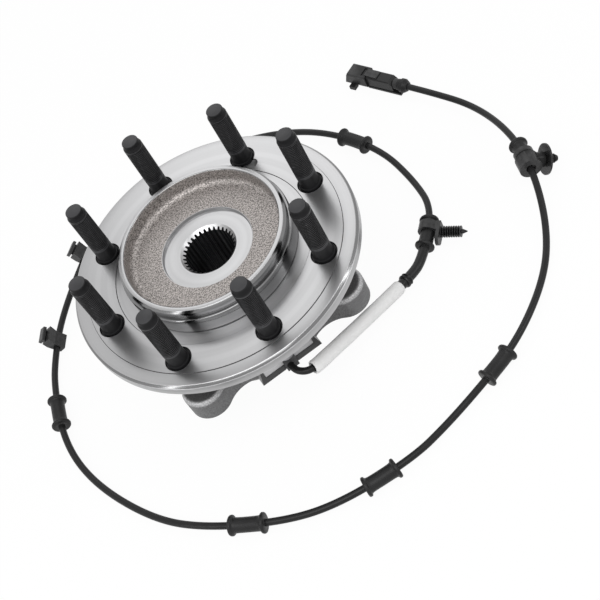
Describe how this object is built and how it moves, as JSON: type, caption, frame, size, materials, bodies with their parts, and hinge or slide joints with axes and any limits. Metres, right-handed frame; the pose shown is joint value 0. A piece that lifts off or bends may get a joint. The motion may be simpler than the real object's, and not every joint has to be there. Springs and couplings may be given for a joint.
{
  "type": "wheel hub bearing",
  "caption": "Driven wheel hub and tapered-roller bearing unit: studded flange with raised pilot on a fixed eared ring, with a speed sensor and its long clipped lead.",
  "frame": {"origin": "on the hub's axis, at the lower end of its rolled lip, which is also the surface that the hub and its lead lie on", "axes": "+Z along the hub's axis towards the wheel studs; -Y from the axis to the speed sensor"},
  "size_m": [0.409, 0.3622, 0.1413],
  "materials": {
    "hub_steel": "turned bright on the flange, as forged in the bowl",
    "stud_coating": "dark phosphate coating",
    "bearing_steel": "ground",
    "pressed_steel": "pressed sheet",
    "seal_rubber": "moulded",
    "housing_steel": "dark as-forged skin with milled faces",
    "sensor_plastic": "moulded",
    "screw_steel": "plated",
    "cable_jacket": "soft extruded jacket",
    "sleeve_braid": "pale woven heat sleeve",
    "conduit_plastic": "extruded",
    "grommet_rubber": "moulded",
    "clip_plastic": "moulded",
    "connector_plastic": "moulded",
    "contact_metal": "plated"
  },
  "bodies": {
    "bearing_housing": {"outer_ring": "housing_steel", "outboard_seal_case": "pressed_steel", "outboard_seal_lip": "seal_rubber", "inboard_seal_case": "pressed_steel", "inboard_seal_lip": "seal_rubber", "sensor_body": "sensor_plastic", "sensor_oring": "seal_rubber", "sensor_screw": "screw_steel", "sensor_cable": "cable_jacket", "cable_sleeve": "sleeve_braid", "conduit_band": "clip_plastic", "cable_conduit": "conduit_plastic", "grommet_1": "grommet_rubber", "grommet_2": "grommet_rubber", "grommet_3": "grommet_rubber", "grommet_4": "grommet_rubber", "grommet_5": "grommet_rubber", "grommet_6": "grommet_rubber", "grommet_7": "grommet_rubber", "clip_band_1": "clip_plastic", "fir_tree_1": "clip_plastic", "clip_band_7": "clip_plastic", "fir_tree_7": "clip_plastic", "route_clip_1": "clip_plastic", "route_clip_2": "clip_plastic", "connector_seal": "grommet_rubber", "connector_body": "connector_plastic", "connector_pins": "contact_metal"},
    "hub": {"wheel_hub": "hub_steel", "wheel_studs": "stud_coating", "outboard_inner_ring": "bearing_steel", "inboard_inner_ring": "bearing_steel", "tone_ring": "pressed_steel", "outboard_slinger": "pressed_steel", "inboard_slinger": "pressed_steel"},
    "outboard_roller_set": {"outboard_rollers": "bearing_steel", "outboard_cage": "pressed_steel"},
    "inboard_roller_set": {"inboard_rollers": "bearing_steel", "inboard_cage": "pressed_steel"},
    "connector_lock_slider": {"connector_lock": "connector_plastic"}
  },
  "joints": [
    {"name": "hub_spin", "type": "hinge", "parent": "bearing_housing", "child": "hub", "pos_m": [0, 0, 0.0445], "axis": [0, 0, 1], "continuous": true},
    {"name": "outboard_rollers_orbit", "type": "hinge", "parent": "bearing_housing", "child": "outboard_roller_set", "pos_m": [0, 0, 0.0625], "axis": [0, 0, 1], "continuous": true},
    {"name": "inboard_rollers_orbit", "type": "hinge", "parent": "bearing_housing", "child": "inboard_roller_set", "pos_m": [0, 0, 0.0265], "axis": [0, 0, 1], "continuous": true},
    {"name": "connector_lock_slide", "type": "slide", "parent": "bearing_housing", "child": "connector_lock_slider", "axis": [-0.4297, 0.903, 0], "range_m": [0, 0.003]}
  ],
  "couplings": [
    {"joint": "outboard_rollers_orbit", "follows": "hub_spin", "ratio": 0.43676},
    {"joint": "inboard_rollers_orbit", "follows": "hub_spin", "ratio": 0.43676}
  ]
}
